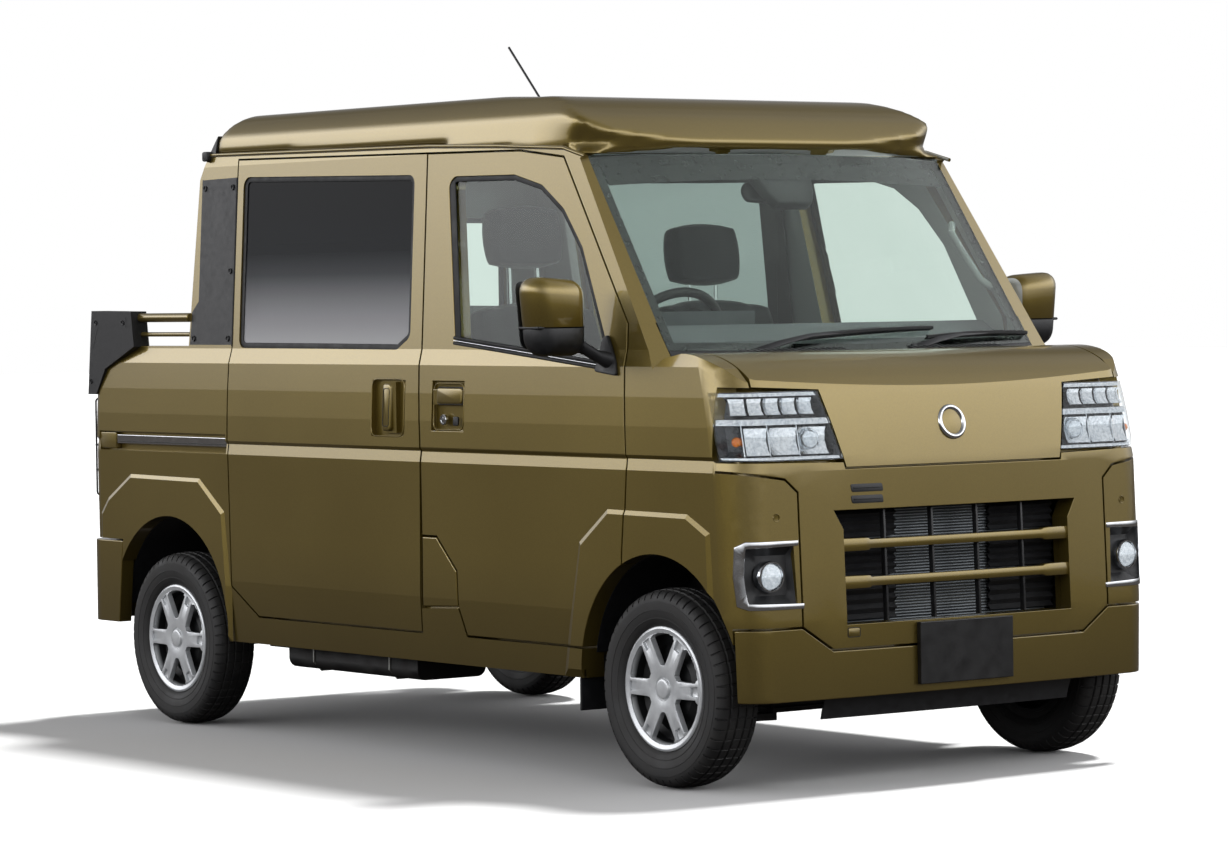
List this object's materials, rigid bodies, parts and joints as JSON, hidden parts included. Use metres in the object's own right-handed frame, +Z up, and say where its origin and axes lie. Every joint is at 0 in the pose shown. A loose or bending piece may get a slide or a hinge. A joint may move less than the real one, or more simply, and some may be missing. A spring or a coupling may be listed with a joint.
{
  "type": "kei double-cab deck van with a short load bed",
  "caption": "Small four-door deck van with a tall cab, sliding rear doors, a short open load bed with a drop tailgate, and working front doors, hood, steering and wheels.",
  "frame": {"origin": "on the ground under the middle of the vehicle", "axes": "+X forward, +Y to the left of the driver, +Z up"},
  "size_m": [3.395, 1.91, 2.0704],
  "materials": {
    "body_paint": "olive khaki metallic paint",
    "under_paint": "satin black chassis paint",
    "black_plastic": "grained black moulding",
    "chrome_trim": "polished",
    "clear_glass": "tinted glazing",
    "privacy_glass": "dark privacy glazing",
    "lamp_clear": "clear lamp lens",
    "lamp_red": "red lamp lens",
    "tyre_rubber": "black rubber",
    "wheel_silver": "silver wheel cover over steel rim",
    "seat_cloth": "dark grey woven cloth",
    "dash_plastic": "soft grey moulding",
    "bare_iron": "dull cast",
    "alloy": "dull finned",
    "exhaust_steel": "dull steel",
    "rubber_flap": "black rubber"
  },
  "bodies": {
    "chassis": {"antenna": "black_plastic", "bed_floor": "body_paint", "bed_rails": "body_paint", "cab_rear_wall": "body_paint", "chassis_frame": "under_paint", "cowl": "black_plastic", "dashboard": "dash_plastic", "driveline": "bare_iron", "exhaust": "exhaust_steel", "fenders": "body_paint", "floor_pan": "body_paint", "fog_lamps": "black_plastic", "front_bumper": "body_paint", "front_panel": "body_paint", "front_seats": "seat_cloth", "front_suspension": "under_paint", "fuel_tank": "black_plastic", "grille": "body_paint", "guard_ends": "black_plastic", "head_lamps": "lamp_clear", "inner_frame": "body_paint", "mud_flaps": "rubber_flap", "number_plates": "black_plastic", "quarter_claddings": "black_plastic", "radiator": "alloy", "rear_axle": "under_paint", "rear_bumper": "body_paint", "rear_glass": "privacy_glass", "rear_seat": "seat_cloth", "roof_panel": "body_paint", "roof_rear_band": "black_plastic", "side_body_left": "body_paint", "side_body_right": "body_paint", "slide_door_glass": "privacy_glass", "slide_doors": "body_paint", "slide_rails": "chrome_trim", "tail_lamps": "lamp_red", "wheel_housings": "black_plastic", "windscreen": "clear_glass", "wipers": "black_plastic"},
    "door_right": {"front_door_right": "body_paint", "front_door_glass_right": "clear_glass", "mirror_right": "body_paint"},
    "door_left": {"front_door_left": "body_paint", "front_door_glass_left": "clear_glass", "mirror_left": "body_paint"},
    "hood_lid": {"hood": "body_paint"},
    "gate": {"tailgate": "body_paint"},
    "fuel_flap": {"fuel_lid": "body_paint"},
    "steer_right": {"knuckle_right": "under_paint"},
    "steer_left": {"knuckle_left": "under_paint"},
    "road_wheel_front_right": {"wheel_front_right": "wheel_silver", "tyre_front_right": "tyre_rubber"},
    "road_wheel_front_left": {"wheel_front_left": "wheel_silver", "tyre_front_left": "tyre_rubber"},
    "road_wheel_rear_right": {"wheel_rear_right": "wheel_silver", "tyre_rear_right": "tyre_rubber"},
    "road_wheel_rear_left": {"wheel_rear_left": "wheel_silver", "tyre_rear_left": "tyre_rubber"},
    "hand_wheel": {"steering_wheel": "dash_plastic"}
  },
  "joints": [
    {"name": "front_door_right_hinge", "type": "hinge", "parent": "chassis", "child": "door_right", "pos_m": [1.147, -0.7375, 0.9], "axis": [0, 0, 1], "range_deg": [0, 65]},
    {"name": "front_door_left_hinge", "type": "hinge", "parent": "chassis", "child": "door_left", "pos_m": [1.147, 0.7375, 0.9], "axis": [0, 0, -1], "range_deg": [0, 65]},
    {"name": "hood_hinge", "type": "hinge", "parent": "chassis", "child": "hood_lid", "pos_m": [1.384, 0, 1.157], "axis": [0, -1, 0], "range_deg": [0, 60]},
    {"name": "tailgate_hinge", "type": "hinge", "parent": "chassis", "child": "gate", "pos_m": [-1.638, 0, 0.585], "axis": [0, -1, 0], "range_deg": [0, 90]},
    {"name": "fuel_lid_hinge", "type": "hinge", "parent": "chassis", "child": "fuel_flap", "pos_m": [0.2035, -0.7365, 0.53], "axis": [0, 0, -1], "range_deg": [0, 80]},
    {"name": "kingpin_right", "type": "hinge", "parent": "chassis", "child": "steer_right", "pos_m": [1.285, -0.59, 0.18], "axis": [0, 0.2591, 0.9658], "range_deg": [-32, 32]},
    {"name": "kingpin_left", "type": "hinge", "parent": "chassis", "child": "steer_left", "pos_m": [1.285, 0.59, 0.18], "axis": [0, -0.2591, 0.9658], "range_deg": [-32, 32]},
    {"name": "wheel_front_right_spin", "type": "hinge", "parent": "steer_right", "child": "road_wheel_front_right", "pos_m": [1.285, -0.6525, 0.267], "axis": [0, 1, 0], "continuous": true},
    {"name": "wheel_front_left_spin", "type": "hinge", "parent": "steer_left", "child": "road_wheel_front_left", "pos_m": [1.285, 0.6525, 0.267], "axis": [0, 1, 0], "continuous": true},
    {"name": "wheel_rear_right_spin", "type": "hinge", "parent": "chassis", "child": "road_wheel_rear_right", "pos_m": [-1.165, -0.6525, 0.267], "axis": [0, 1, 0], "continuous": true},
    {"name": "wheel_rear_left_spin", "type": "hinge", "parent": "chassis", "child": "road_wheel_rear_left", "pos_m": [-1.165, 0.6525, 0.267], "axis": [0, 1, 0], "continuous": true},
    {"name": "steering_wheel_turn", "type": "hinge", "parent": "chassis", "child": "hand_wheel", "pos_m": [1.13, -0.33, 0.965], "axis": [-0.848, 0, 0.5299], "range_deg": [-480, 480]}
  ],
  "couplings": [
    {"joint": "kingpin_left", "follows": "kingpin_right", "ratio": 1},
    {"joint": "steering_wheel_turn", "follows": "kingpin_right", "ratio": 15}
  ]
}
